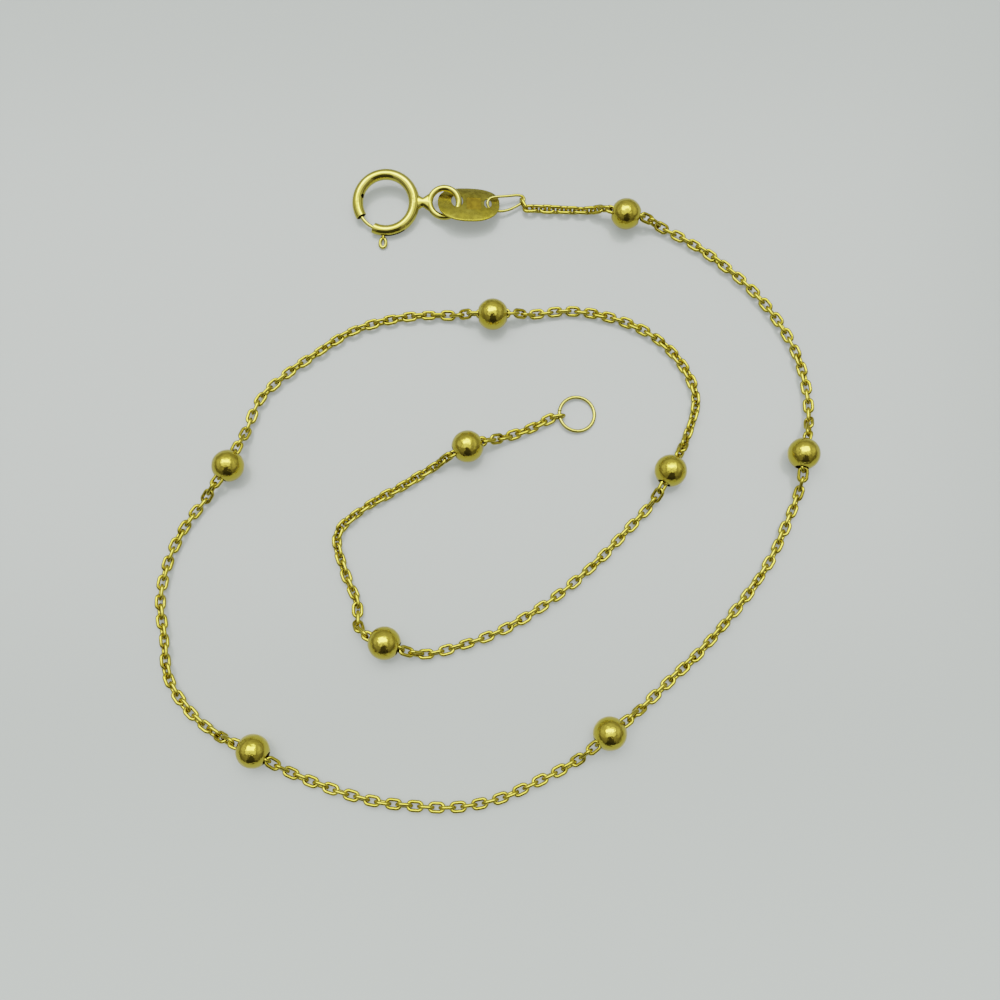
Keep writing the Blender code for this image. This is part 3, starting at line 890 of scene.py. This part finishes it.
def bead(number, place, yaw, material, bore_shade_material):
    """A drilled ball with a slight unevenness of its own."""
    profile = bead_profile()
    draws = random.Random(SEED + number)
    ranges = (WAVE_PITCHES, WAVE_PITCHES, WAVE_PHASES, WAVE_PHASES)
    waves = [[draws.uniform(*limits) for limits in ranges] for _ in range(WAVE_COUNT)]
    points = []
    for x, r in profile:
        for j in range(BEAD_SEGMENTS):
            angle = 2 * math.pi * j / BEAD_SEGMENTS
            point = Vector((x, r * math.cos(angle), r * math.sin(angle)))
            dent = 0
            for along, around, first, second in waves:
                lengthwise = math.sin(along * WAVES_ALONG * x / MM + first)
                dent += lengthwise * math.cos(round(around) * angle + second)
            points.append(point * (1 - BEAD_UNEVENNESS * (1 + dent / len(waves))))
    faces = grid_faces(len(profile), BEAD_SEGMENTS, True, True)
    obj = add_object(f"bead_{number}_polished", mesh_from(f"bead_{number}", points, faces), material)
    # The bore and the inside of the lip get the dark painted shade
    obj.data.materials.append(bore_shade_material)
    for face in obj.data.polygons:
        if face.center.yz.length < BEAD_HOLE / 2 + BEAD_LIP / 2:
            face.material_index = 1
    return placed(obj, (*place, BEAD_Z), 0, 0, math.degrees(yaw))


def new_material(name):
    material = bpy.data.materials.new(name)
    material.use_nodes = True
    return material, material.node_tree.nodes, material.node_tree.links


def noise(nodes, links, coordinates, scale, detail, stretch=(1, 1, 1)):
    """A noise texture in the object's own coordinates, drawn out along an axis by the stretch."""
    mapping = nodes.new("ShaderNodeMapping")
    mapping.inputs["Scale"].default_value = stretch
    links.new(coordinates.outputs["Object"], mapping.inputs["Vector"])
    texture = nodes.new("ShaderNodeTexNoise")
    texture.inputs["Scale"].default_value = scale
    texture.inputs["Detail"].default_value = detail
    links.new(mapping.outputs["Vector"], texture.inputs["Vector"])
    return texture.outputs["Fac"]


def gold(name):
    """Gold of one finish: two close tones, uneven polish, hairline scratches and shallow dents."""
    finish = FINISHES[name]
    material, nodes, links = new_material(name)
    shader = nodes["Principled BSDF"]
    shader.inputs["Metallic"].default_value = 1.0
    coordinates = nodes.new("ShaderNodeTexCoord")
    tone = nodes.new("ShaderNodeMix")
    tone.data_type = "RGBA"
    tone.inputs["A"].default_value = (*finish.light, 1)
    tone.inputs["B"].default_value = (*finish.dark, 1)
    patches = noise(nodes, links, coordinates, *PATCH_NOISE)
    links.new(patches, tone.inputs["Factor"])
    links.new(tone.outputs["Result"], shader.inputs["Base Color"])
    polish = nodes.new("ShaderNodeMapRange")
    polish.inputs["From Min"].default_value = POLISH_FROM[0]
    polish.inputs["From Max"].default_value = POLISH_FROM[1]
    polish.inputs["To Min"].default_value = finish.roughness * POLISH_TO[0]
    polish.inputs["To Max"].default_value = finish.roughness * POLISH_TO[1]
    links.new(noise(nodes, links, coordinates, *POLISH_NOISE), polish.inputs["Value"])
    links.new(polish.outputs["Result"], shader.inputs["Roughness"])
    waves = nodes.new("ShaderNodeBump")
    waves.inputs["Strength"].default_value = 1.0
    waves.inputs["Distance"].default_value = finish.dents * MM
    links.new(noise(nodes, links, coordinates, *DENT_NOISE), waves.inputs["Height"])
    scratches = nodes.new("ShaderNodeBump")
    scratches.inputs["Strength"].default_value = finish.wear
    scratches.inputs["Distance"].default_value = SCRATCH_DEPTH
    links.new(noise(nodes, links, coordinates, *SCRATCH_NOISE, finish.grain), scratches.inputs["Height"])
    links.new(waves.outputs["Normal"], scratches.inputs["Normal"])
    links.new(scratches.outputs["Normal"], shader.inputs["Normal"])
    return material


def maths(nodes, links, operation, *values):
    """One Math node. Each value is a socket or a number."""
    node = nodes.new("ShaderNodeMath")
    node.operation = operation
    for socket, value in zip(node.inputs, values):
        if isinstance(value, (int, float)):
            socket.default_value = value
        else:
            links.new(value, socket)
    return node.outputs[0]


def ramp(nodes, links, value, low, high, at_low, at_high):
    """A smooth step of the value from one level to another."""
    node = nodes.new("ShaderNodeMapRange")
    node.interpolation_type = "SMOOTHSTEP"
    node.inputs["From Min"].default_value = low
    node.inputs["From Max"].default_value = high
    node.inputs["To Min"].default_value = at_low
    node.inputs["To Max"].default_value = at_high
    links.new(value, node.inputs["Value"])
    return node.outputs["Result"]


def between(nodes, links, value, low, high, soft):
    """1 between low and high, 0 outside, with soft edges."""
    rise = ramp(nodes, links, value, low - soft, low + soft, 0, 1)
    fall = ramp(nodes, links, value, high - soft, high + soft, 1, 0)
    return maths(nodes, links, "MULTIPLY", rise, fall)


def room():
    """The light round the table: a window overhead, side panels, and a dim side where a viewer stands."""
    world = bpy.data.worlds.new("room")
    world.use_nodes = True
    bpy.context.scene.world = world
    nodes, links = world.node_tree.nodes, world.node_tree.links
    coordinates = nodes.new("ShaderNodeTexCoord")
    axes = nodes.new("ShaderNodeSeparateXYZ")
    links.new(coordinates.outputs["Generated"], axes.inputs["Vector"])
    x, y, z = axes.outputs["X"], axes.outputs["Y"], axes.outputs["Z"]
    height = maths(nodes, links, "MAXIMUM", z, LOWEST_HEIGHT)
    across = maths(nodes, links, "DIVIDE", x, height)
    away = maths(nodes, links, "DIVIDE", y, height)
    walls = ramp(nodes, links, z, *WALL_HEIGHTS, *WALL_LEVELS)
    viewer_side = ramp(nodes, links, y, *VIEWER_SIDE, *VIEWER_SIDE_LEVELS)
    light = maths(nodes, links, "MULTIPLY", walls, viewer_side)
    glow = maths(
        nodes, links, "MULTIPLY",
        between(nodes, links, across, *GLOW_ACROSS),
        between(nodes, links, away, *GLOW_AWAY),
    )
    light = maths(nodes, links, "MULTIPLY_ADD", glow, GLOW_LEVEL, light)
    window = maths(
        nodes, links, "MULTIPLY",
        between(nodes, links, across, *WINDOW_ACROSS),
        between(nodes, links, away, *WINDOW_AWAY),
    )
    light = maths(nodes, links, "MULTIPLY_ADD", window, WINDOW_LEVEL, light)
    sideways = maths(nodes, links, "ABSOLUTE", across)
    frame_lines = maths(
        nodes, links, "MULTIPLY",
        between(nodes, links, sideways, *FRAME_SIDEWAYS),
        ramp(nodes, links, z, *FRAME_HEIGHTS, 0, 1),
    )
    past_frame = maths(nodes, links, "MULTIPLY_ADD", frame_lines, FRAME_SHADE, 1.0)
    light = maths(nodes, links, "MULTIPLY", light, past_frame)
    panels = maths(
        nodes, links, "MULTIPLY",
        between(nodes, links, sideways, *SIDE_PANEL_SIDEWAYS),
        between(nodes, links, away, *SIDE_PANEL_AWAY),
    )
    panel_light = maths(nodes, links, "MULTIPLY", panels, SIDE_PANEL_LEVEL)
    light = maths(nodes, links, "ADD", light, panel_light)
    toward = maths(nodes, links, "MAXIMUM", maths(nodes, links, "MULTIPLY", y, -1), LEAST_TOWARD)
    bearing = maths(nodes, links, "DIVIDE", maths(nodes, links, "ABSOLUTE", x), toward)
    figure = maths(
        nodes, links, "MULTIPLY",
        ramp(nodes, links, bearing, *FIGURE_BEARINGS, 1, 0),
        ramp(nodes, links, toward, *FIGURE_TOWARD, 0, 1),
    )
    figure = maths(nodes, links, "MULTIPLY", figure, ramp(nodes, links, z, *FIGURE_HEIGHTS, 0, 1))
    blocked = maths(nodes, links, "MULTIPLY", figure, FIGURE_SHADE)
    level = maths(nodes, links, "MULTIPLY", maths(nodes, links, "SUBTRACT", 1.0, blocked), ROOM_LIGHT)
    light = maths(nodes, links, "MULTIPLY", light, level)
    background = nodes["Background"]
    background.inputs["Color"].default_value = (1.0, 1.0, 1.0, 1)
    links.new(light, background.inputs["Strength"])


def table_material():
    """Pale glossy board, faintly cloudy, with a painted glow that lightens the shadows on it, a little
    brighter near the front.
    """
    material, nodes, links = new_material("pale_table")
    shader = nodes["Principled BSDF"]
    coordinates = nodes.new("ShaderNodeTexCoord")
    tone = nodes.new("ShaderNodeMix")
    tone.data_type = "RGBA"
    tone.inputs["A"].default_value = (*FLOOR_COLOUR, 1)
    tone.inputs["B"].default_value = (*[c * FLOOR_CLOUD for c in FLOOR_COLOUR], 1)
    links.new(noise(nodes, links, coordinates, *CLOUD_NOISE), tone.inputs["Factor"])
    links.new(tone.outputs["Result"], shader.inputs["Base Color"])
    shader.inputs["Roughness"].default_value = FLOOR_ROUGHNESS
    shader.inputs["Specular IOR Level"].default_value = FLOOR_SPECULAR
    shader.inputs["Emission Color"].default_value = (*FLOOR_COLOUR, 1)
    axes = nodes.new("ShaderNodeSeparateXYZ")
    links.new(coordinates.outputs["Object"], axes.inputs["Vector"])
    glow_levels = (FLOOR_GLOW + FLOOR_NEAR_GLOW, FLOOR_GLOW)
    glow = ramp(nodes, links, axes.outputs["Y"], *FLOOR_NEAR_SPAN, *glow_levels)
    links.new(maths(nodes, links, "DIVIDE", glow, FLOOR_COLOUR[1]), shader.inputs["Emission Strength"])
    return material


def table():
    half = FLOOR_HALF_WIDTH
    points = [(-half, -half, 0), (half, -half, 0), (half, half, 0), (-half, half, 0)]
    floor = add_object("table", mesh_from("table", points, [(0, 1, 2, 3)]), table_material())


def camera():
    data = bpy.data.cameras.new("camera")
    data.lens = CAMERA_LENS
    data.sensor_width = CAMERA_SENSOR
    data.clip_start = CAMERA_NEAR
    data.clip_end = CAMERA_FAR
    obj = bpy.data.objects.new("camera", data)
    obj.location = CAMERA_PLACE
    obj.rotation_euler.x = math.radians(CAMERA_TILT_DEG)
    bpy.context.scene.collection.objects.link(obj)
    bpy.context.scene.camera = obj


def clasp():
    clasp_gold = gold("clasp_polish")
    wire_gold = gold("wire_polish")
    ring = spring_ring(clasp_gold, gold("tube_inside_painted_shade"))
    finish_piece(ring, "anklet", "clasp_gold", "spring_ring")
    finish_piece(trigger(clasp_gold), "trigger", "clasp_gold", "trigger")
    tag = oval_tag(gold("tag_satin"), gold("tag_recess_painted_shade"))
    finish_piece(tag, "anklet", "tag_gold", "oval_tag")
    finish_piece(end_loop(wire_gold), "anklet", "wire_gold", "end_loop")
    finish_piece(end_ring(wire_gold), "anklet", "wire_gold", "end_ring")


def chain():
    chain_gold = gold("chain_polish")
    for number, places in enumerate(chain_links(), 1):
        name = f"chain_links_{number}"
        links = add_object(name, links_mesh(name, places), chain_gold)
        finish_piece(links, "anklet", "chain_gold", f"chain_{number}")
    ends = (
        ("first_link", FIRST_LINK_PLACE, FIRST_LINK_DEG),
        ("last_link", last_link_place(), LAST_LINK_DEG - 180),
    )
    for node, place, yaw_deg in ends:
        start, end = edge_link_ends(place, yaw_deg)
        mesh = links_mesh(node + "_wire", [link_matrix(start, end, math.radians(LINK_ON_EDGE_DEG))])
        finish_piece(add_object(node + "_wire", mesh, chain_gold), "anklet", "chain_gold", node)


def beads():
    bead_gold = gold("bead_polish")
    bore_shade_gold = gold("bead_bore_painted_shade")
    points, centres = chain_route()
    for number, index in enumerate(centres, 1):
        along = points[index + 1] - points[index - 1]
        yaw = math.atan2(along.y, along.x)
        obj = bead(number, points[index].xy, yaw, bead_gold, bore_shade_gold)
        finish_piece(obj, "anklet", "bead_gold", f"bead_{number}")


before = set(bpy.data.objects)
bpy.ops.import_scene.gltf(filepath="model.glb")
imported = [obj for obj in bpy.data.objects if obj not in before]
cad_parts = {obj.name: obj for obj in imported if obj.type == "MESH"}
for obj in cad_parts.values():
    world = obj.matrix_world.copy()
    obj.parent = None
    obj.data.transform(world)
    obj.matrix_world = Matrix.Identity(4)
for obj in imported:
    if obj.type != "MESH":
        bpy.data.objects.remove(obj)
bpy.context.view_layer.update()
bpy.context.scene.view_settings.view_transform = "Filmic"
camera()
room()
table()
clasp()
chain()
beads()
